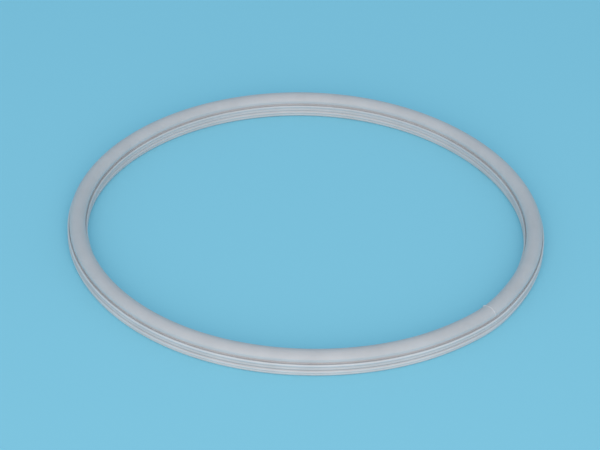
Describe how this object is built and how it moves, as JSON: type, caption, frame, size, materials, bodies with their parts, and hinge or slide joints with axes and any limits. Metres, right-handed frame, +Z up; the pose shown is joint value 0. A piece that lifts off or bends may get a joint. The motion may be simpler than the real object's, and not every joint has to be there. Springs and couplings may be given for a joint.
{
  "type": "pressure cooker sealing ring",
  "caption": "Pale silicone sealing ring for a pressure cooker lid: a round bead over a ribbed foot, closed by a butt splice.",
  "frame": {"origin": "the ring's centre on the plane that its foot rests on", "axes": "+Z up along the ring's axis, from the foot to the bead; +X and +Y in the resting plane, with the splice 40 degrees from +X towards -Y"},
  "size_m": [0.2394, 0.2394, 0.0119],
  "materials": {
    "silicone": "semi-matte, slightly translucent pale grey silicone",
    "cured_bond": "matte, paler cured silicone adhesive"
  },
  "bodies": {
    "root": {"extruded_ring": "silicone", "splice_bond": "cured_bond"}
  },
  "joints": []
}
